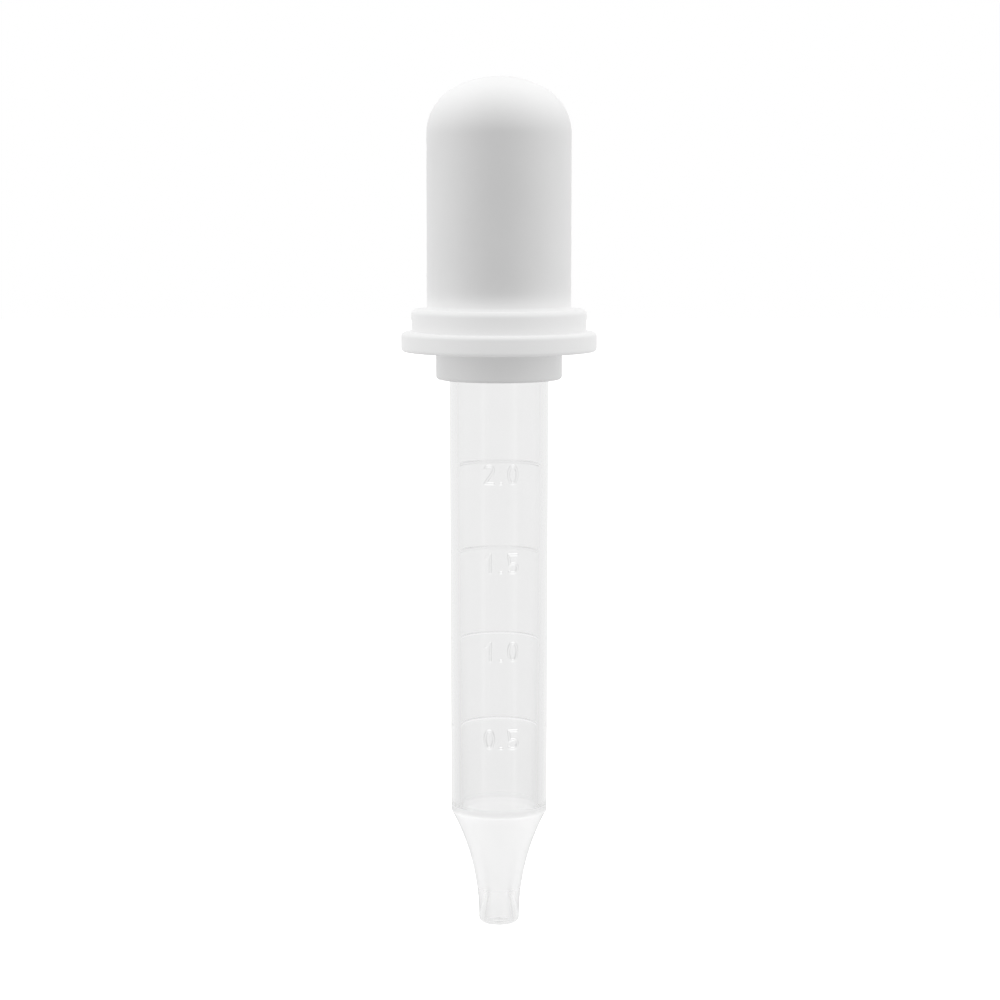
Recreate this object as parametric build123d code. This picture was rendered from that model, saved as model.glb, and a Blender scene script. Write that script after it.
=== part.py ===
from build123d import *
import math
import os

# Medicine dropper: a soft silicone squeeze bulb on a clear graduated plastic tube.
# Millimetres. The origin is the centre of the nozzle's end face, +Z runs up the axis
# to the bulb, and the numerals face -Y. The two pressable flanks face -X and +X.

# Heights along the axis
NOZZLE_LENGTH = 12.0
PLUG_BOTTOM = 56.75
FLANGE_BOTTOM = 59.6
RING_BOTTOM = 61.6
BULB_FOOT = 63.9
DOME_START = 81.6

# Squeeze bulb, one silicone moulding
BULB_RADIUS = 7.35
BULB_WALL = 1.6
SHOULDER_ARC = 5.3
CROWN_ARC = 9.75
RING_RADIUS = 8.95
FLANGE_RADIUS = 10.0
PLUG_RADIUS = 6.45
FOOT_FILLET = 0.4
RING_ROUND = 0.5
FLANGE_ROUND = 0.38
PLUG_ROUND = 0.35
CAVITY_FLOOR = 64.2

# Socket for the tube, with a stop lip above its end
TUBE_TOP = 63.55
SOCKET_CLEARANCE = 0.03
LIP_GAP = 0.05
LIP_BORE = 4.3

# Pressable flanks, each turning about a line along its own foot
PANEL_HALF_WIDTH = 4.0
PANEL_FOOT = 64.8
PANEL_REACH = 16.75
PANEL_GAP = 0.08

# Tube, outside
TIP_RADIUS = 2.09
TIP_STRAIGHT = 0.65
TIP_ROUND = 0.6
TUBE_BOTTOM_RADIUS = 4.96
SPIGOT_RADIUS = 5.08
SHOULDER_ROUND = 0.5

# Tube, inside
MOUTH_RADIUS = 1.05
MOUTH_STRAIGHT = 3.0
MOUTH_ROUND = 0.2
BORE_FOOT = 12.4
BORE_FOOT_RADIUS = 3.93
BORE_KNEE = 42.75
BORE_KNEE_RADIUS = 4.33
BORE_TOP_RADIUS = 4.38

# Graduations: a raised half ring behind and a raised numeral in front for each volume
MARKS = {"0.5": 20.65, "1.0": 29.7, "1.5": 38.75, "2.0": 47.8}
MARK_WIDTH = 0.45
MARK_HEIGHT = 0.13
MARK_SPAN = 184.0
NUMERAL_DROP = 0.36
DIGIT_HEIGHT = 2.1
DIGIT_WIDTH = 1.15
DIGIT_PITCH = 1.18
NUMERAL_SHIFT = 0.2
STROKE = 0.3
NUMERAL_RELIEF = 0.12
NUMERAL_ROOT = 4.4

# Shapes of the digits: where the 1 stands, and the arcs of the 2's head and the 5's bowl
STEM_SHIFT = 0.1
FLAG_DROP = 0.8
HEAD_START = 165
HEAD_SWEEP = -200
BOWL_START = 130
BOWL_SWEEP = -270
BOWL_WIDENING = 1.1

MATCH = 0.01


def turned(*edges):
    """Solid of revolution about Z of a closed outline drawn in the XZ plane."""
    return revolve(Plane.XZ * make_face(Wire(edges)), Axis.Z)


def cylinder(radius, bottom, top):
    """Cylinder on the Z axis between two heights."""
    return Pos(0, 0, (bottom + top) / 2) * Cylinder(radius, top - bottom)


def rims(solid, radius, height):
    """Circular edges of a turned solid at one radius and height."""
    circles = solid.edges().filter_by(GeomType.CIRCLE)
    return [
        edge
        for edge in circles
        if abs(edge.radius - radius) < MATCH and abs(edge.arc_center.Z - height) < MATCH
    ]


def domed(inset, bottom):
    """Closed bulb shape, straight below and three-arc dome above, inset from the outside."""
    wall = BULB_RADIUS - inset
    shoulder = SHOULDER_ARC - inset
    crown = CROWN_ARC - inset
    offset = BULB_RADIUS - SHOULDER_ARC
    rise = math.sqrt((CROWN_ARC - SHOULDER_ARC) ** 2 - offset**2)
    lean = math.atan2(rise, offset)
    crown_centre = DOME_START - rise
    joint = Vector(offset + shoulder * math.cos(lean), DOME_START + shoulder * math.sin(lean))
    apex = Vector(0, crown_centre + crown)
    return turned(
        Line((0, bottom), (wall, bottom)),
        Line((wall, bottom), (wall, DOME_START)),
        RadiusArc((wall, DOME_START), joint, -shoulder),
        RadiusArc(joint, apex, -crown),
        Line(apex, (0, bottom)),
    )


def stepped_flange():
    """Bottle plug, wide flange and upper ring below the bulb."""
    body = cylinder(PLUG_RADIUS, PLUG_BOTTOM, FLANGE_BOTTOM + MATCH)
    body += cylinder(FLANGE_RADIUS, FLANGE_BOTTOM, RING_BOTTOM)
    body += cylinder(RING_RADIUS, RING_BOTTOM, BULB_FOOT)
    body = fillet(rims(body, PLUG_RADIUS, PLUG_BOTTOM), PLUG_ROUND)
    for height in (FLANGE_BOTTOM, RING_BOTTOM):
        body = fillet(rims(body, FLANGE_RADIUS, height), FLANGE_ROUND)
    return fillet(rims(body, RING_RADIUS, BULB_FOOT), RING_ROUND)


def whole_bulb():
    """The bulb as moulded, before the flanks are parted from it."""
    body = stepped_flange() + domed(0, BULB_FOOT - 1)
    body = fillet(rims(body, BULB_RADIUS, BULB_FOOT), FOOT_FILLET)
    body -= domed(BULB_WALL, CAVITY_FLOOR)
    body -= cylinder(LIP_BORE, PLUG_BOTTOM, CAVITY_FLOOR + 1)
    body -= cylinder(SPIGOT_RADIUS + SOCKET_CLEARANCE, PLUG_BOTTOM - 1, TUBE_TOP + LIP_GAP)
    return body


def hinge_line():
    """Distance from the axis of the line that each flank turns about."""
    return math.sqrt((BULB_RADIUS - BULB_WALL) ** 2 - PANEL_HALF_WIDTH**2)


def flank_block(side, gap):
    """Region of one flank: flat foot and sides, top edge rounded about the hinge line."""
    reach = PANEL_REACH + gap
    half_width = PANEL_HALF_WIDTH + gap
    near = hinge_line() - 1
    far = BULB_RADIUS + 1
    top = PANEL_FOOT + PANEL_REACH
    middle = Pos(side * (near + far) / 2, 0, (PANEL_FOOT - gap + top + 1) / 2)
    block = middle * Box(far - near, 2 * half_width, top + 1 - PANEL_FOOT + gap)
    round_top = Pos(side * hinge_line(), 0, PANEL_FOOT) * Rot(90, 0, 0)
    return block & (round_top * Cylinder(reach, 2 * half_width + 1))


def flank(moulding, side):
    """One pressable flank, cut from the bulb's wall."""
    return moulding & flank_block(side, 0)


def outside_radius(height):
    """Outside radius of the tapered tube between the nozzle and the plug."""
    share = (height - NOZZLE_LENGTH) / (PLUG_BOTTOM - NOZZLE_LENGTH)
    return TUBE_BOTTOM_RADIUS + share * (SPIGOT_RADIUS - TUBE_BOTTOM_RADIUS)


def plain_tube():
    """Tube and nozzle without the graduations."""
    outer = turned(
        Line((0, 0), (TIP_RADIUS, 0)),
        Line((TIP_RADIUS, 0), (TIP_RADIUS, TIP_STRAIGHT)),
        TangentArc((TIP_RADIUS, TIP_STRAIGHT), (TUBE_BOTTOM_RADIUS, NOZZLE_LENGTH), tangent=(0, 1)),
        Line((TUBE_BOTTOM_RADIUS, NOZZLE_LENGTH), (SPIGOT_RADIUS, PLUG_BOTTOM)),
        Line((SPIGOT_RADIUS, PLUG_BOTTOM), (SPIGOT_RADIUS, TUBE_TOP)),
        Line((SPIGOT_RADIUS, TUBE_TOP), (0, TUBE_TOP)),
        Line((0, TUBE_TOP), (0, 0)),
    )
    outer = fillet(rims(outer, TUBE_BOTTOM_RADIUS, NOZZLE_LENGTH), SHOULDER_ROUND)
    outer = fillet(rims(outer, TIP_RADIUS, 0), TIP_ROUND)
    bore = turned(
        Line((0, -1), (MOUTH_RADIUS, -1)),
        Line((MOUTH_RADIUS, -1), (MOUTH_RADIUS, MOUTH_STRAIGHT)),
        TangentArc((MOUTH_RADIUS, MOUTH_STRAIGHT), (BORE_FOOT_RADIUS, BORE_FOOT), tangent=(0, 1)),
        Line((BORE_FOOT_RADIUS, BORE_FOOT), (BORE_KNEE_RADIUS, BORE_KNEE)),
        Line((BORE_KNEE_RADIUS, BORE_KNEE), (BORE_TOP_RADIUS, TUBE_TOP + 1)),
        Line((BORE_TOP_RADIUS, TUBE_TOP + 1), (0, TUBE_TOP + 1)),
        Line((0, TUBE_TOP + 1), (0, -1)),
    )
    return fillet(rims(outer - bore, MOUTH_RADIUS, 0), MOUTH_ROUND)


def mark_ring(height):
    """Raised half ring round the back of the tube, a bead sunk into the wall."""
    bead_radius = (MARK_WIDTH**2 / 4 + MARK_HEIGHT**2) / (2 * MARK_HEIGHT)
    centre = outside_radius(height) + MARK_HEIGHT - bead_radius
    bead = Plane.XZ * Pos(centre, height) * Circle(bead_radius)
    ring = revolve(bead, Axis.Z, revolution_arc=MARK_SPAN)
    return Rot(0, 0, (180 - MARK_SPAN) / 2) * ring


def stroke(edges):
    """Flat line of even width along a chain of edges."""
    return trace(edges, STROKE)


def zero(half_width, half_height):
    """Oval numeral 0."""
    outside = Ellipse(half_width + STROKE / 2, half_height + STROKE / 2)
    return outside - Ellipse(half_width - STROKE / 2, half_height - STROKE / 2)


def one(half_width, half_height):
    """Numeral 1 with a short flag."""
    top = (STEM_SHIFT, half_height)
    flag = (STEM_SHIFT - half_width, half_height - FLAG_DROP * half_width)
    return stroke([Line((STEM_SHIFT, -half_height), top), Line(top, flag)])


def two(half_width, half_height):
    """Numeral 2 with a round head and a flat base."""
    head = CenterArc((0, half_height - half_width), half_width, HEAD_START, HEAD_SWEEP)
    corner = (-half_width, -half_height)
    return stroke([head, Line(head @ 1, corner), Line(corner, (half_width, -half_height))])


def five(half_width, half_height):
    """Numeral 5 with a round bowl."""
    radius = BOWL_WIDENING * half_width
    bowl = CenterArc((0, half_width - half_height), radius, BOWL_START, BOWL_SWEEP)
    corner = (-half_width, half_height)
    return stroke([bowl, Line(bowl @ 0, corner), Line(corner, (half_width, half_height))])


DRAW = {"0": zero, "1": one, "2": two, "5": five}


def numeral(text):
    """One digit, a decimal point and a second digit, with the point at the origin."""
    half_width = (DIGIT_WIDTH - STROKE) / 2
    half_height = (DIGIT_HEIGHT - STROKE) / 2
    first, second = (DRAW[digit](half_width, half_height) for digit in text.split("."))
    point = Pos(0, -half_height) * Circle(0.6 * STROKE)
    return Pos(-DIGIT_PITCH) * first + point + Pos(DIGIT_PITCH) * second


def raised_numeral(text, mark_height):
    """Numeral standing on the front of the tube, a little below its mark's height."""
    height = mark_height - NUMERAL_DROP
    flat = Plane.XZ.offset(NUMERAL_ROOT) * Pos(NUMERAL_SHIFT, height) * numeral(text)
    low = height - DIGIT_HEIGHT
    high = height + DIGIT_HEIGHT
    skin = turned(
        Line((0, low), (outside_radius(low) + NUMERAL_RELIEF, low)),
        Line((outside_radius(low) + NUMERAL_RELIEF, low), (outside_radius(high) + NUMERAL_RELIEF, high)),
        Line((outside_radius(high) + NUMERAL_RELIEF, high), (0, high)),
        Line((0, high), (0, low)),
    )
    return extrude(flat, 1.0) & skin


def graduated_tube():
    """Clear tube with its nozzle, four marks and four numerals, one moulding."""
    body = plain_tube()
    for text, height in MARKS.items():
        body += mark_ring(height)
        body += raised_numeral(text, height)
    return body


def squeeze_bulb(moulding):
    """The bulb moulding with the two flank openings."""
    for side in (-1, 1):
        moulding = moulding - flank_block(side, PANEL_GAP)
    return moulding


def main():
    os.makedirs("parts", exist_ok=True)
    moulding = whole_bulb()
    parts = {
        "squeeze_bulb": squeeze_bulb(moulding),
        "squeeze_panel_left": flank(moulding, -1),
        "squeeze_panel_right": flank(moulding, 1),
        "graduated_tube": graduated_tube(),
    }
    for name, part in parts.items():
        export_step(part, f"parts/{name}.step")


main()
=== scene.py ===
import math

import bmesh
import bpy
import numpy as np
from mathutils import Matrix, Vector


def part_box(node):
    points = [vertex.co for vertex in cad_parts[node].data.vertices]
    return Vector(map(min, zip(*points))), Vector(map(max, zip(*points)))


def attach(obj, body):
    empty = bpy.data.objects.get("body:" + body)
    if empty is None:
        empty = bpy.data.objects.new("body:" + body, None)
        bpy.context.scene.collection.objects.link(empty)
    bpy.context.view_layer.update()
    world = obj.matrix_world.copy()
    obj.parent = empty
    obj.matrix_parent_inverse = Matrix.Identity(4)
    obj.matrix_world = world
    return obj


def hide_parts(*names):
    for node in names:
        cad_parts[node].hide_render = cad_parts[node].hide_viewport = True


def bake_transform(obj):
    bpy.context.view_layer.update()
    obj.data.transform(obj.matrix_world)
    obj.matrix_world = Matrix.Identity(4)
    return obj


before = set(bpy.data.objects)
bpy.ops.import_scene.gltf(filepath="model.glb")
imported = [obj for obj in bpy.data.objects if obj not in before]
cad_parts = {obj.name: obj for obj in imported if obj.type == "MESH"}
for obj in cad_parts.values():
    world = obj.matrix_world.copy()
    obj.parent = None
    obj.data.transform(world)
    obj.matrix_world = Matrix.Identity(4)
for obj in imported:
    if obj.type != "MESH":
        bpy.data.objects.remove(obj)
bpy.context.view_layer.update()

# Medicine dropper: a white silicone squeeze bulb on a clear graduated tube, in a white light tent.
# Metres. +Z runs up the axis, the numerals face -Y and the pressable flanks face -X and +X.

MM = 0.001

# Heights and radii from the CAD boxes
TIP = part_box("graduated_tube")[0].z
TUBE_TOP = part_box("graduated_tube")[1].z
PLUG_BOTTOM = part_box("squeeze_bulb")[0].z
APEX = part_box("squeeze_bulb")[1].z
FLANGE_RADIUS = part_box("squeeze_bulb")[1].x
BULB_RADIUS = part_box("squeeze_panel_right")[1].x

# The bulb moulding's steps, measured from the plug's lower face or from the apex
FLANGE_BOTTOM = PLUG_BOTTOM + 2.85 * MM
RING_BOTTOM = PLUG_BOTTOM + 4.85 * MM
BULB_FOOT = PLUG_BOTTOM + 7.15 * MM
CAVITY_FLOOR = PLUG_BOTTOM + 7.45 * MM
DOME_START = APEX - 5.8 * MM
BULB_WALL = 1.6 * MM
PLUG_RADIUS = 6.45 * MM
RING_RADIUS = 8.95 * MM
SOCKET_RADIUS = 5.11 * MM
LIP_BORE = 4.3 * MM
LIP_GAP = 0.05 * MM
SHOULDER_ARC = 5.3 * MM
CROWN_ARC = 9.75 * MM
PLUG_ROUND = 0.35 * MM
FLANGE_ROUND = 0.38 * MM
RING_ROUND = 0.5 * MM
FOOT_FILLET = 0.4 * MM
SOFT_EDGE = 0.12 * MM
WALL_OVERLAP = 0.9 * MM

# The tube, measured from the tip
NOZZLE_LENGTH = 12.0 * MM
TIP_RADIUS = 2.09 * MM
TIP_ROUND = 0.6 * MM
TIP_STRAIGHT = 0.65 * MM
MOUTH_ROUND = 0.2 * MM
TUBE_FOOT_RADIUS = 4.96 * MM
SPIGOT_RADIUS = 5.08 * MM
SHOULDER_ROUND = 0.5 * MM
MOUTH_RADIUS = 1.05 * MM
MOUTH_STRAIGHT = 3.0 * MM
BORE_FOOT = 12.4 * MM
BORE_FOOT_RADIUS = 3.93 * MM
BORE_KNEE = 42.75 * MM
BORE_KNEE_RADIUS = 4.33 * MM
BORE_TOP_RADIUS = 4.38 * MM
TOP_ROUND = 0.1 * MM

# The marks, by height above the tip. Each is a bead round the back, which ends and fades at
# these degrees from the middle of the back.
MARKS = {"0.5": 20.65 * MM, "1.0": 29.7 * MM, "1.5": 38.75 * MM, "2.0": 47.8 * MM}
MARK_WIDTH = 0.45 * MM
MARK_HEIGHT = 0.13 * MM
MARK_END, MARK_FADE = 93, 24

# Painted light on raised edges, for light they bend and mirror: above 0 painted highlight, below 0
# painted shade
MARK_PAINTED_TONES = {"0.5": 0.33, "1.0": 0.28, "1.5": -0.2, "2.0": -0.35}
SHOULDER_HIGHLIGHT, SHOULDER_LINE = 0.35, 0.12 * MM
UPRIGHT_LOSS = 1.7

# The numerals, each of two digits about a dot, on the front
NUMERAL_DROP = 0.36 * MM
NUMERAL_RELIEF = 0.13 * MM
DIGIT_HEIGHT = 2.1 * MM
DIGIT_WIDTH = 1.15 * MM
DIGIT_PITCH = 1.18 * MM
STROKE = 0.3 * MM
NUMERAL_SHIFT = 0.2 * MM
STEM_SHIFT = 0.1 * MM
DOT_HALF_WIDTH = 0.08 * MM
EDGE_REACH = 0.7 * STROKE
FLAG_DROP = 0.8
HEAD_START, HEAD_SWEEP = 165, -200
BOWL_START, BOWL_SWEEP, BOWL_WIDENING = 130, -270, 1.1

# Mesh density: rows near and away from the marks, and the closely divided sector in front
FINE_ROW, COARSE_ROW = 0.035 * MM, 0.4 * MM
FINE_BELOW, FINE_ABOVE = 1.6 * MM, 0.9 * MM
FRONT_SECTOR = math.radians(32)
LEAD = 0.03 * MM


# ---------- outlines ----------

def arc(centre, radius, start, end, steps):
    """Points (r, z) along an arc, angles in degrees from +r towards +z, both ends included."""
    angles = np.radians(np.linspace(start, end, steps + 1))
    return [(centre[0] + radius * math.cos(a), centre[1] + radius * math.sin(a)) for a in angles]


def rounded(corners, steps=8):
    """A closed outline from (r, z, rounding) corners, each corner turned into a tangent arc.

    A point a little before and after each arc keeps the smooth shading of the faces beside it flat.
    """
    points = []
    count = len(corners)
    for i, (r, z, rounding) in enumerate(corners):
        here = np.array((r, z))
        if rounding == 0:
            points.append((r, z))
            continue
        before = np.array(corners[i - 1][:2]) - here
        after = np.array(corners[(i + 1) % count][:2]) - here
        before /= np.linalg.norm(before)
        after /= np.linalg.norm(after)
        half = math.acos(np.clip(before @ after, -1, 1)) / 2
        back = rounding / math.tan(half)
        middle = (before + after) / np.linalg.norm(before + after)
        centre = here + middle * rounding / math.sin(half)
        first, last = here + before * back - centre, here + after * back - centre
        lead = back + LEAD
        turn = math.atan2(first[0] * last[1] - first[1] * last[0], first @ last)
        start = math.degrees(math.atan2(first[1], first[0]))
        points.append(tuple(here + before * lead))
        points += arc(centre, rounding, start, start + math.degrees(turn), steps)
        points.append(tuple(here + after * lead))
    return points


def tangent_arc(foot, top, steps):
    """Arc that leaves foot straight up and ends at top, as (r, z) points."""
    rise, run = top[1] - foot[1], top[0] - foot[0]
    radius = (rise**2 + run**2) / (2 * run)
    turn = math.degrees(math.asin(rise / radius))
    return arc((foot[0] + radius, foot[1]), radius, 180, 180 - turn, steps)


# ---------- meshes ----------

def grid_mesh(name, points, wrap_columns, sharp_angle=35, tone=None):
    """Mesh from a rows x columns x 3 grid whose rows close on themselves.

    A painted tone at each point, highlight above 0 and shade below, is kept as the
    painted_edge_light attribute.
    """
    rows, columns = points.shape[:2]
    used = columns if wrap_columns else columns - 1
    i, j = np.meshgrid(np.arange(rows), np.arange(used), indexing="ij")
    down, right = (i + 1) % rows, (j + 1) % columns
    here, below = i * columns, down * columns
    quads = np.stack([here + j, here + right, below + right, below + j], -1)
    faces = quads.reshape(-1, 4).tolist()
    if not wrap_columns:
        faces.append([k * columns for k in range(rows)])
        faces.append([k * columns + columns - 1 for k in reversed(range(rows))])
    mesh = bpy.data.meshes.new(name)
    mesh.from_pydata(points.reshape(-1, 3).tolist(), [], faces)
    if tone is not None:
        mesh.attributes.new("painted_edge_light", "FLOAT", "POINT").data.foreach_set("value", tone.ravel())
    work = bmesh.new()
    work.from_mesh(mesh)
    bmesh.ops.remove_doubles(work, verts=work.verts, dist=1e-7)
    bmesh.ops.recalc_face_normals(work, faces=work.faces)
    work.to_mesh(mesh)
    work.free()
    mesh.shade_smooth()
    mesh.set_sharp_from_angle(angle=math.radians(sharp_angle))
    piece = bpy.data.objects.new(name, mesh)
    bpy.context.scene.collection.objects.link(piece)
    return piece


def lathe(name, outline, angles, wrap_columns=True, sharp_angle=35):
    """Turns a closed (r, z) outline about Z through the given angles in radians."""
    outline = np.array(outline)
    r, z = outline[:, 0][:, None], outline[:, 1][:, None]
    points = np.stack([r * np.cos(angles), r * np.sin(angles), z + 0 * angles], -1)
    return grid_mesh(name, points, wrap_columns, sharp_angle)


# ---------- squeeze bulb ----------

def bulb_outline(inset, foot):
    """Half outline of the bulb from its foot to its apex, inset from the outside surface."""
    wall, shoulder, crown = BULB_RADIUS - inset, SHOULDER_ARC - inset, CROWN_ARC - inset
    offset = BULB_RADIUS - SHOULDER_ARC
    rise = math.sqrt((CROWN_ARC - SHOULDER_ARC) ** 2 - offset**2)
    lean = math.degrees(math.atan2(rise, offset))
    straight = [(wall, z) for z in np.linspace(foot, DOME_START, 25)[:-1]]
    side = arc((offset, DOME_START), shoulder, 0, lean, 30)
    top = arc((0, DOME_START - rise), crown, lean, 90, 24)[1:]
    return straight + side + top[:-1] + [(0, DOME_START - rise + crown)]


def bulb_half(name, turn):
    """One half of the bulb's wall. Its columns crowd towards the seam, where the halves meet."""
    inside = bulb_outline(BULB_WALL, CAVITY_FLOOR - 0.5 * MM)
    outline = bulb_outline(0, BULB_FOOT - WALL_OVERLAP) + inside[::-1]
    angles = turn + math.pi / 2 * np.sin(np.linspace(-math.pi / 2, math.pi / 2, 129))
    return lathe(name, outline, angles, wrap_columns=False)


def collar():
    """Stepped flange, bottle plug and tube socket below the bulb's wall."""
    rim = BULB_RADIUS - 0.005 * MM
    rim_top = BULB_FOOT + 0.45 * MM
    inner_rim = rim - 0.5 * MM
    outline = rounded([
        (SOCKET_RADIUS, PLUG_BOTTOM, SOFT_EDGE),
        (PLUG_RADIUS, PLUG_BOTTOM, PLUG_ROUND),
        (PLUG_RADIUS, FLANGE_BOTTOM, 0.15 * MM),
        (FLANGE_RADIUS, FLANGE_BOTTOM, FLANGE_ROUND),
        (FLANGE_RADIUS, RING_BOTTOM, FLANGE_ROUND),
        (RING_RADIUS, RING_BOTTOM, SOFT_EDGE),
        (RING_RADIUS, BULB_FOOT, RING_ROUND),
        (rim, BULB_FOOT, FOOT_FILLET),
        (rim, rim_top, 0),
        (inner_rim, rim_top, 0),
        (inner_rim, CAVITY_FLOOR, 0),
        (LIP_BORE, CAVITY_FLOOR, 0.1 * MM),
        (LIP_BORE, TUBE_TOP + LIP_GAP, 0),
        (SOCKET_RADIUS, TUBE_TOP + LIP_GAP, 0),
    ])
    return lathe("bulb_collar", outline, np.linspace(0, 2 * math.pi, 289)[:-1])


# ---------- graduated tube ----------

def digit_strokes():
    """Centre lines of the four digits, each a list of points about the digit's middle."""
    w, h = (DIGIT_WIDTH - STROKE) / 2, (DIGIT_HEIGHT - STROKE) / 2
    oval = [(w * math.cos(a), h * math.sin(a)) for a in np.linspace(0, 2 * math.pi, 49)]
    head = arc((0, h - w), w, HEAD_START, HEAD_START + HEAD_SWEEP, 24)
    bowl = arc((0, w - h), BOWL_WIDENING * w, BOWL_START, BOWL_START + BOWL_SWEEP, 32)
    return {
        "0": oval,
        "1": [(STEM_SHIFT, -h), (STEM_SHIFT, h), (STEM_SHIFT - w, h - FLAG_DROP * w)],
        "2": head + [(-w, -h), (w, -h)],
        "5": [(w, h), (-w, h)] + bowl,
    }


def distance_to_line(x, z, line):
    """Distance from each (x, z) to a chain of straight pieces."""
    best = np.full(x.shape, 1.0)
    for (ax, az), (bx, bz) in zip(line[:-1], line[1:]):
        dx, dz = bx - ax, bz - az
        along = np.clip(((x - ax) * dx + (z - az) * dz) / (dx * dx + dz * dz), 0, 1)
        best = np.minimum(best, np.hypot(x - ax - along * dx, z - az - along * dz))
    return best


def smooth(value):
    """Smoothstep of a value clipped to 0..1."""
    t = np.clip(value, 0, 1)
    return t * t * (3 - 2 * t)


def numeral_gap(u, v, text):
    """Distance from each (u, v) to the strokes of a numeral such as 1.5 about its dot."""
    first, second = (digit_strokes()[c] for c in text.split("."))
    low = (STROKE - DIGIT_HEIGHT) / 2
    dot = distance_to_line(u, v, [(-DOT_HALF_WIDTH, low), (DOT_HALF_WIDTH, low)])
    left = distance_to_line(u + DIGIT_PITCH, v, first)
    right = distance_to_line(u - DIGIT_PITCH, v, second)
    return np.minimum(np.minimum(left, right), dot)


def relief(x, y, z):
    """Height of the raised marks and numerals at points on the tube's wall.

    Also returns each point's painted tone: highlight on a numeral's level edges, shade on its
    upright ones, and the painted MARK_PAINTED_TONES along the marks.
    """
    raised, tone = np.zeros(x.shape), np.zeros(x.shape)
    from_back = np.degrees(np.abs(np.arctan2(x, y)))
    behind = smooth((MARK_END - from_back) / MARK_FADE)
    nudge = 0.01 * MM
    for text, mark in MARKS.items():
        level = z - TIP - mark
        bell = 0.5 + 0.5 * np.cos(np.clip(level / (0.6 * MARK_WIDTH), -1, 1) * math.pi)
        raised = np.maximum(raised, MARK_HEIGHT * bell * behind)
        # Painted light along the back of each mark: a highlight where its mark tone is above 0,
        # shade below
        tone += MARK_PAINTED_TONES[text] * bell**3 * behind
        near = (np.abs(level) < 2 * MM) & (y < 0) & (np.abs(x) < 3 * MM)
        u, v = x[near] - NUMERAL_SHIFT, level[near] + NUMERAL_DROP
        gap = numeral_gap(u, v, text)
        crown = 0.5 + 0.5 * np.cos(np.clip(gap / EDGE_REACH, 0, 1) * math.pi)
        raised[near] = np.maximum(raised[near], NUMERAL_RELIEF * crown)
        # Painted highlight on the numeral's level edges and painted shade on its upright ones
        upright = ((numeral_gap(u + nudge, v, text) - gap) / nudge) ** 2
        level_edge = ((numeral_gap(u, v + nudge, text) - gap) / nudge) ** 2
        edge = (4 * crown * (1 - crown)) ** 2
        tone[near] += edge * (1 - UPRIGHT_LOSS * upright) * (upright + level_edge)
    return raised, tone


def wall_heights(low, high):
    """Rows up the graduated wall, close together where something is raised."""
    cuts = [low]
    for mark in sorted(MARKS.values()):
        cuts += [TIP + mark - FINE_BELOW, TIP + mark + FINE_ABOVE]
    cuts.append(high)
    rows = []
    for k, (a, b) in enumerate(zip(cuts[:-1], cuts[1:])):
        step = FINE_ROW if k % 2 else COARSE_ROW
        rows.append(np.linspace(a, b, max(2, round((b - a) / step)), endpoint=False))
    return np.concatenate(rows)


def line_radii(heights, low, high):
    """Points (r, z) at the given heights on the straight line from low to high."""
    slope = (high[0] - low[0]) / (high[1] - low[1])
    return [(low[0] + slope * (z - low[1]), z) for z in heights]


def tube_outline():
    """Closed outline of the tube, and the slice of it that is the graduated wall."""
    shoulder = (TUBE_FOOT_RADIUS, TIP + NOZZLE_LENGTH)
    bore_foot = (BORE_FOOT_RADIUS, TIP + BORE_FOOT)
    bore_knee = (BORE_KNEE_RADIUS, TIP + BORE_KNEE)
    tip = rounded([
        (MOUTH_RADIUS, TIP, MOUTH_ROUND),
        (TIP_RADIUS, TIP, TIP_ROUND),
        (TIP_RADIUS, TIP + MM, 0),
    ])[:-1]
    heights = wall_heights(shoulder[1] + COARSE_ROW, PLUG_BOTTOM)
    wall = line_radii(heights, shoulder, (SPIGOT_RADIUS, PLUG_BOTTOM))
    flare = tangent_arc((TIP_RADIUS, TIP + TIP_STRAIGHT), shoulder, 30)
    bend = rounded([(*flare[-3], 0), (*flare[-1], SHOULDER_ROUND), (*wall[0], 0)])[1:-1]
    flare = flare[:-2] + bend
    top = rounded([
        (SPIGOT_RADIUS, PLUG_BOTTOM, 0),
        (SPIGOT_RADIUS, TUBE_TOP, TOP_ROUND),
        (BORE_TOP_RADIUS, TUBE_TOP, TOP_ROUND),
        (*bore_knee, 0),
    ], 4)
    heights = np.linspace(bore_knee[1], bore_foot[1] + 0.5 * MM, 60)[1:]
    straight = line_radii(heights, bore_foot, bore_knee)
    bore = tangent_arc((MOUTH_RADIUS, TIP + MOUTH_STRAIGHT), bore_foot, 30)[::-1]
    bend = rounded([(*straight[-1], 0), (*bore[0], SHOULDER_ROUND), (*bore[2], 0)])[1:-1]
    first = len(tip) + len(flare)
    outline = tip + flare + wall + top + straight + bend + bore[2:]
    return np.array(outline), slice(first, first + len(wall))


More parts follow.
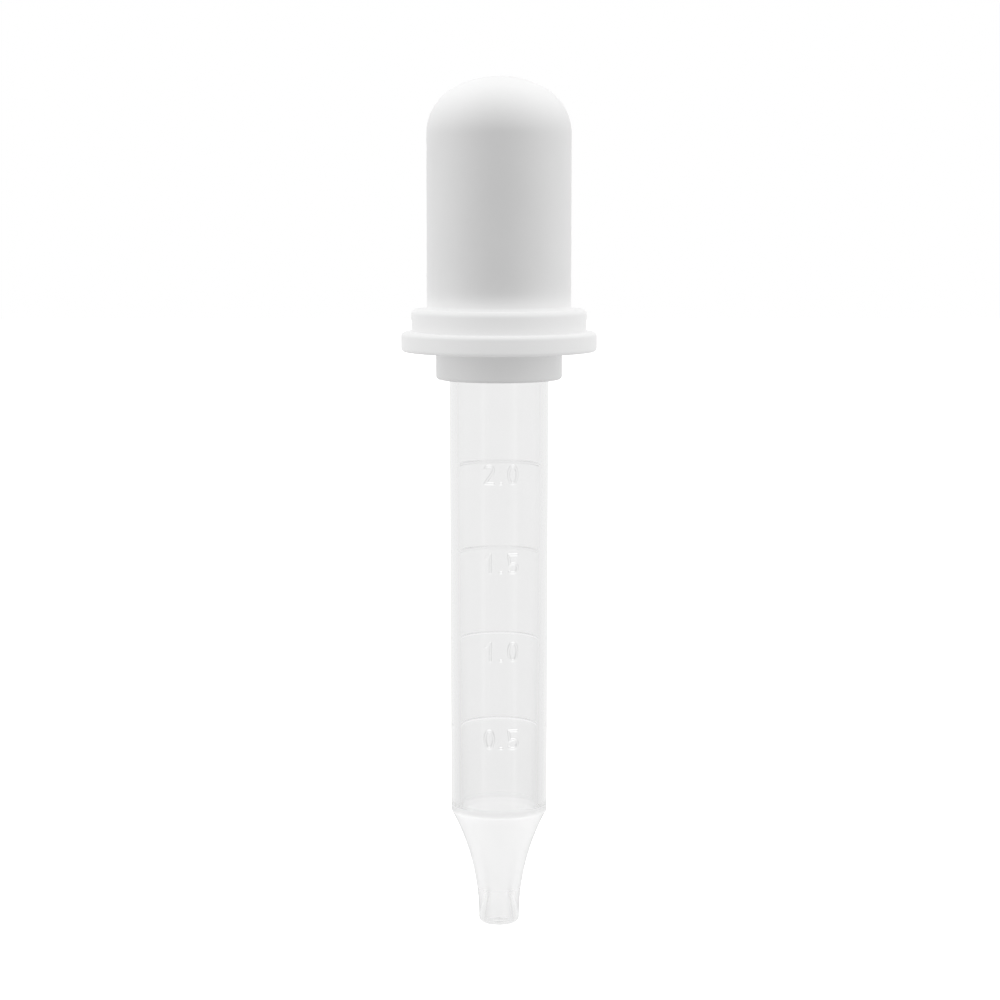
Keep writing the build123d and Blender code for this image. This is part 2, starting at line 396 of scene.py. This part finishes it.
def graduated_tube():
    """The clear tube, inside and outside, with its raised marks and numerals in one skin."""
    outline, band = tube_outline()
    columns = np.concatenate([
        np.linspace(-FRONT_SECTOR, FRONT_SECTOR, 150, endpoint=False),
        np.linspace(FRONT_SECTOR, 2 * math.pi - FRONT_SECTOR, 130, endpoint=False),
    ]) - math.pi / 2
    r = np.repeat(outline[:, :1], len(columns), axis=1)
    z = np.repeat(outline[:, 1:], len(columns), axis=1)
    x, y = r[band] * np.cos(columns), r[band] * np.sin(columns)
    raised, painted_edge_light = relief(x, y, z[band])
    r[band] += raised
    # Painted light and shade on the raised edges, kept with the mesh
    tone = np.zeros(r.shape)
    tone[band] = painted_edge_light
    # Painted highlight along the shoulder line
    outside = slice(0, band.stop)
    from_shoulder = z[outside] - TIP - NOZZLE_LENGTH
    tone[outside] += SHOULDER_HIGHLIGHT * np.exp(-(from_shoulder / SHOULDER_LINE) ** 2)
    points = np.stack([r * np.cos(columns), r * np.sin(columns), z], -1)
    return grid_mesh("graduated_tube_clear", points, True, 50, tone)


# ---------- materials ----------

# The collar's darker grey is traded for a painted glow, standing for light scattered in the
# silicone; the plug's weaker glow paints the shade under the flange
WALL_GREY, COLLAR_GREY = 0.8, 0.42
FLANGE_PAINTED_GLOW, PLUG_PAINTED_GLOW = 0.39, 0.31
# Painted shade colour and painted glint for the tube's raised edges
EDGE_SHADE, EDGE_GLINT = 0.75, 0.28
# Painted glow in the nozzle cone and towards its limbs; the haze is roughness
CONE_HAZE, CONE_GLOW, LIMB_GLOW = 0.32, 0.024, 0.05
DEEPEST_BOUNCE = 3.5


def new_material(name):
    """Empty node material, its tree and its principled shader."""
    material = bpy.data.materials.new(name)
    material.use_nodes = True
    tree = material.node_tree
    return material, tree, tree.nodes["Principled BSDF"]


def noise(tree, scale, detail=4.0):
    """Noise in object space. Returns its value socket."""
    place = tree.nodes.new("ShaderNodeTexCoord")
    node = tree.nodes.new("ShaderNodeTexNoise")
    node.inputs["Scale"].default_value = scale
    node.inputs["Detail"].default_value = detail
    node.inputs["Roughness"].default_value = 0.6
    tree.links.new(place.outputs["Object"], node.inputs["Vector"])
    return node.outputs["Fac"]


def height(tree):
    """Height in object space."""
    place = tree.nodes.new("ShaderNodeTexCoord")
    split = tree.nodes.new("ShaderNodeSeparateXYZ")
    tree.links.new(place.outputs["Object"], split.inputs["Vector"])
    return split.outputs["Z"]


def ramp(tree, value, low, high, to_low, to_high, kind="SMOOTHSTEP"):
    """Maps a value from low..high to to_low..to_high, held at both ends."""
    node = tree.nodes.new("ShaderNodeMapRange")
    node.interpolation_type = kind
    ends = {"From Min": low, "From Max": high, "To Min": to_low, "To Max": to_high}
    for key, number in ends.items():
        node.inputs[key].default_value = number
    tree.links.new(value, node.inputs["Value"])
    return node.outputs["Result"]


def between(tree, value, low, high):
    """Maps a 0..1 value to low..high in a straight line."""
    return ramp(tree, value, 0.0, 1.0, low, high, "LINEAR")


def combine(tree, operation, first, second=0.0):
    """One maths node. The second term is a number or a socket."""
    node = tree.nodes.new("ShaderNodeMath")
    node.operation = operation
    tree.links.new(first, node.inputs[0])
    if isinstance(second, float):
        node.inputs[1].default_value = second
    else:
        tree.links.new(second, node.inputs[1])
    return node.outputs["Value"]


def colour_mix(tree, value, first, second):
    """Colour between two others, each a grey level or a socket, by a 0..1 value."""
    node = tree.nodes.new("ShaderNodeMix")
    node.data_type = "RGBA"
    for key, colour in (("A", first), ("B", second)):
        if isinstance(colour, float):
            node.inputs[key].default_value = (colour, colour, colour, 1)
        else:
            tree.links.new(colour, node.inputs[key])
    tree.links.new(value, node.inputs["Factor"])
    return node.outputs["Result"]


def bump(tree, value, strength, distance):
    """Bump normal from a height value."""
    node = tree.nodes.new("ShaderNodeBump")
    node.inputs["Strength"].default_value = strength
    node.inputs["Distance"].default_value = distance
    tree.links.new(value, node.inputs["Height"])
    return node.outputs["Normal"]


def silicone():
    """Satin white silicone with faint mottling and a fine moulded grain.

    The solid collar, unlike the thin wall above it, has a painted glow for light scattered in the
    silicone, traded for part of its surface colour; less glow on the plug paints the flange's
    shade.
    """
    material, tree, shader = new_material("white_silicone")
    level = height(tree)
    foot = (BULB_FOOT - 0.3 * MM, BULB_FOOT + 2.2 * MM)
    cloud = noise(tree, 180.0, 3.0)
    solid = colour_mix(tree, cloud, COLLAR_GREY - 0.01, COLLAR_GREY + 0.01)
    wall = colour_mix(tree, cloud, WALL_GREY - 0.02, WALL_GREY + 0.02)
    colour = colour_mix(tree, ramp(tree, level, *foot, 0.0, 1.0), solid, wall)
    tree.links.new(colour, shader.inputs["Base Color"])
    # Painted glow on the collar, fading out up the bulb's foot; less on the plug as painted shade
    # under the flange
    plug_edge = (FLANGE_BOTTOM - 0.3 * MM, FLANGE_BOTTOM + 0.2 * MM)
    plug_painted_shade = ramp(tree, level, *plug_edge, PLUG_PAINTED_GLOW - FLANGE_PAINTED_GLOW, 0.0)
    painted_glow = combine(tree, "ADD", ramp(tree, level, *foot, FLANGE_PAINTED_GLOW, 0.0), plug_painted_shade)
    tree.links.new(painted_glow, shader.inputs["Emission Strength"])
    shader.inputs["Emission Color"].default_value = (1, 1, 1, 1)
    tree.links.new(between(tree, noise(tree, 900.0), 0.42, 0.56), shader.inputs["Roughness"])
    grain = bump(tree, noise(tree, 4500.0, 2.0), 0.10, 0.02 * MM)
    tree.links.new(grain, shader.inputs["Normal"])
    shader.inputs["IOR"].default_value = 1.41
    return material


def clear_plastic():
    """Clear injection-moulded plastic, very slightly uneven and hazy in the nozzle, where a painted
    glow lights the cone.

    The painted_edge_light attribute paints shade on an edge where it is below 0 and a glint where
    it is above.
    Rays that have already bounced often inside pass straight on.
    """
    material, tree, shader = new_material("clear_plastic")
    edge = tree.nodes.new("ShaderNodeAttribute")
    edge.attribute_name = "painted_edge_light"
    tone = edge.outputs["Fac"]
    level = height(tree)
    clear_colour = colour_mix(tree, noise(tree, 250.0, 2.0), 0.965, 0.985)
    # Painted shade: edges below 0 take the darker EDGE_SHADE colour
    dark_share = ramp(tree, tone, -1.0, 0.0, 1.0, 0.0, "LINEAR")
    colour = colour_mix(tree, dark_share, clear_colour, EDGE_SHADE)
    tree.links.new(colour, shader.inputs["Base Color"])
    shoulder = (TIP + NOZZLE_LENGTH - 0.1 * MM, TIP + NOZZLE_LENGTH + 0.1 * MM)
    below_shoulder = ramp(tree, level, *shoulder, 1.0, 0.0, "LINEAR")
    bore_foot = (TIP + BORE_FOOT + 0.2 * MM, TIP + BORE_FOOT + 0.6 * MM)
    below_bore_foot = ramp(tree, level, *bore_foot, 1.0, 0.0, "LINEAR")
    above_tip = ramp(tree, level, TIP + 1.5 * MM, TIP + 4.5 * MM, 0.0, 1.0, "LINEAR")
    hazy = combine(tree, "MULTIPLY", below_bore_foot, above_tip)
    smoothness = between(tree, noise(tree, 700.0), 0.02, 0.05)
    haze = combine(tree, "ADD", smoothness, between(tree, hazy, 0.0, CONE_HAZE))
    tree.links.new(haze, shader.inputs["Roughness"])
    # Painted glow in the nozzle cone, brighter towards its limbs and gone where it is seen edge on
    facing = tree.nodes.new("ShaderNodeLayerWeight").outputs["Facing"]
    inner = ramp(tree, facing, 0.05, 0.45, CONE_GLOW, CONE_GLOW + LIMB_GLOW, "LINEAR")
    edge_on = ramp(tree, facing, 0.5, 0.85, 1.0, 0.0, "LINEAR")
    cone = combine(tree, "MULTIPLY", below_shoulder, above_tip)
    cone_glow = combine(tree, "MULTIPLY", cone, combine(tree, "MULTIPLY", inner, edge_on))
    # Painted glint on edges above 0, plus the cone's painted glow
    painted_glow = combine(tree, "ADD", between(tree, tone, 0.0, EDGE_GLINT), cone_glow)
    tree.links.new(painted_glow, shader.inputs["Emission Strength"])
    shader.inputs["Emission Color"].default_value = (1, 1, 1, 1)
    unevenness = bump(tree, noise(tree, 350.0, 2.0), 0.01, 0.01 * MM)
    tree.links.new(unevenness, shader.inputs["Normal"])
    shader.inputs["IOR"].default_value = 1.49
    shader.inputs["Transmission Weight"].default_value = 1.0
    path = tree.nodes.new("ShaderNodeLightPath")
    deep = combine(tree, "GREATER_THAN", path.outputs["Ray Depth"], DEEPEST_BOUNCE)
    straight = tree.nodes.new("ShaderNodeBsdfTransparent")
    mix = tree.nodes.new("ShaderNodeMixShader")
    tree.links.new(deep, mix.inputs["Fac"])
    tree.links.new(shader.outputs["BSDF"], mix.inputs[1])
    tree.links.new(straight.outputs["BSDF"], mix.inputs[2])
    tree.links.new(mix.outputs["Shader"], tree.nodes["Material Output"].inputs["Surface"])
    return material


# ---------- build ----------

white = silicone()
clear = clear_plastic()

halves = [("bulb_wall_right", 0, "right_flank", 1), ("bulb_wall_left", math.pi, "left_flank", -1)]
for name, turn, flank, side in halves:
    half = bulb_half(name, turn)
    half.data.materials.append(white)
    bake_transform(half)
    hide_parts("squeeze_bulb", "squeeze_panel_right" if side > 0 else "squeeze_panel_left")

collar_piece = collar()
collar_piece.data.materials.append(white)
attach(collar_piece, "bulb")
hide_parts("squeeze_bulb")

tube = graduated_tube()
tube.data.materials.append(clear)
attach(tube, "tube")
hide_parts("graduated_tube")


# ---------- studio ----------

# Light on the white silicone
FRONT_LIGHT, BACK_LIGHT, KEY_LIGHT, SIDE_LIGHT, BOTTOM_LOSS = 0.12, 0.85, 1.27, 2.75, -0.1
# Light seen through the clear plastic or mirrored in it
THROUGH_BACK, THROUGH_EDGE, DARK_SIDES = 0.93, 0.88, 0.7
STRIP_LIGHT, STRIP_PLACE, STRIP_HALF_WIDTH = 0.35, 0.6, 0.1
FROM_BELOW, FROM_ABOVE, TILT = 0.16, 0.15, 0.1


def camera_directions(tree):
    """The ray's direction across, up and away from the camera, each -1..1."""
    place = tree.nodes.new("ShaderNodeTexCoord")
    unit = tree.nodes.new("ShaderNodeVectorMath")
    unit.operation = "NORMALIZE"
    tree.links.new(place.outputs["Camera"], unit.inputs[0])
    split = tree.nodes.new("ShaderNodeSeparateXYZ")
    tree.links.new(unit.outputs["Vector"], split.inputs["Vector"])
    return split.outputs


def total(tree, *terms):
    """Sum of two or more sockets."""
    result = terms[0]
    for term in terms[1:]:
        result = combine(tree, "ADD", result, term)
    return result


def choose(tree, switch, off, on):
    """Off where the switch is 0, on where it is 1. On is a number or a socket."""
    node = tree.nodes.new("ShaderNodeMix")
    tree.links.new(switch, node.inputs["Factor"])
    tree.links.new(off, node.inputs["A"])
    if isinstance(on, float):
        node.inputs["B"].default_value = on
    else:
        tree.links.new(on, node.inputs["B"])
    return node.outputs["Result"]


def light_on_white(tree, across, up, away):
    """Light that falls on the silicone: high key light, bright sides, dimmer front."""
    depth = ramp(tree, away, -0.9, 0.6, FRONT_LIGHT, BACK_LIGHT)
    raised = combine(tree, "MULTIPLY", up, 0.8)
    towards = combine(tree, "MULTIPLY", away, -0.6)
    key = ramp(tree, combine(tree, "ADD", raised, towards), 0.2, 1.0, 0.0, KEY_LIGHT)
    sides = ramp(tree, combine(tree, "ABSOLUTE", across), 0.9, 1.0, 0.0, SIDE_LIGHT)
    bottom = ramp(tree, up, -0.9, 0.0, BOTTOM_LOSS, 0.0)
    return total(tree, depth, key, sides, bottom)


def light_through_clear(tree, across, up, away):
    """Light seen through the plastic: a pale backdrop, darker beside it, with two side strips."""
    backdrop = ramp(tree, away, 0.1, 0.75, DARK_SIDES, THROUGH_EDGE)
    middle = ramp(tree, away, 0.9, 0.99, 0.0, THROUGH_BACK - THROUGH_EDGE)
    offset = combine(tree, "SUBTRACT", combine(tree, "ABSOLUTE", across), STRIP_PLACE)
    from_strip = combine(tree, "ABSOLUTE", offset)
    strip = ramp(tree, from_strip, 0.0, STRIP_HALF_WIDTH, STRIP_LIGHT, 0.0)
    strips = combine(tree, "MULTIPLY", strip, combine(tree, "LESS_THAN", away))
    slope = ramp(tree, up, -0.25, -0.05, -TILT, 0.0)
    below = ramp(tree, up, -0.42, -0.28, FROM_BELOW, 0.0)
    above = ramp(tree, up, 0.4, 0.8, 0.0, FROM_ABOVE)
    return total(tree, backdrop, middle, strips, slope, below, above)


def tent():
    """World light fixed to the camera, with one light for the silicone and one for the plastic."""
    world = bpy.data.worlds.new("light_tent")
    world.use_nodes = True
    bpy.context.scene.world = world
    tree = world.node_tree
    background = tree.nodes["Background"]
    across, up, away = camera_directions(tree)
    on_white = light_on_white(tree, across, up, away)
    through = light_through_clear(tree, across, up, away)
    path = tree.nodes.new("ShaderNodeLightPath")
    crossed, mirrored = path.outputs["Transmission Depth"], path.outputs["Is Glossy Ray"]
    inside = combine(tree, "GREATER_THAN", combine(tree, "MAXIMUM", crossed, mirrored))
    seen = choose(tree, inside, on_white, through)
    light = choose(tree, path.outputs["Is Camera Ray"], seen, 1.0)
    tree.links.new(light, background.inputs["Strength"])
    background.inputs["Color"].default_value = (1, 1, 1, 1)


tent()


FLOOR_SHADE, FLOOR_HALF_SIDE, FLOOR_DROP = 0.55, 1.5, 12 * MM


def floor():
    """Plain pale floor below the dropper, out of the tube's reach."""
    size, z = FLOOR_HALF_SIDE, TIP - FLOOR_DROP
    corners = [(-size, -size, z), (size, -size, z), (size, size, z), (-size, size, z)]
    mesh = bpy.data.meshes.new("floor")
    mesh.from_pydata(corners, [], [(0, 1, 2, 3)])
    piece = bpy.data.objects.new("floor", mesh)
    bpy.context.scene.collection.objects.link(piece)
    material, tree, shader = new_material("pale_floor")
    colour = colour_mix(tree, noise(tree, 30.0), FLOOR_SHADE - 0.01, FLOOR_SHADE + 0.01)
    tree.links.new(colour, shader.inputs["Base Color"])
    shader.inputs["Roughness"].default_value = 0.9
    shader.inputs["Specular IOR Level"].default_value = 0.0
    shader.inputs["Emission Color"].default_value = (1, 1, 1, 1)
    path = tree.nodes.new("ShaderNodeLightPath")
    tree.links.new(path.outputs["Is Camera Ray"], shader.inputs["Emission Strength"])
    mesh.materials.append(material)
    piece.visible_diffuse = piece.visible_glossy = False
    piece.visible_transmission = piece.visible_shadow = False


floor()


# ---------- camera ----------

LENS, CAMERA_TILT, CAMERA_DISTANCE = 99.2, math.radians(6.6), 283 * MM
AIM = (0.1 * MM, 0, TIP + 44.31 * MM)

camera_data = bpy.data.cameras.new("camera")
camera_data.lens = LENS
camera_data.sensor_width = 36
camera_data.clip_start, camera_data.clip_end = 0.01, 20
camera = bpy.data.objects.new("camera", camera_data)
bpy.context.scene.collection.objects.link(camera)
back = np.array((0, -math.cos(CAMERA_TILT), math.sin(CAMERA_TILT)))
camera.location = np.array(AIM) + back * CAMERA_DISTANCE
camera.rotation_euler = (math.pi / 2 - CAMERA_TILT, 0, 0)
bpy.context.scene.camera = camera
bpy.context.scene.view_settings.view_transform = "Standard"
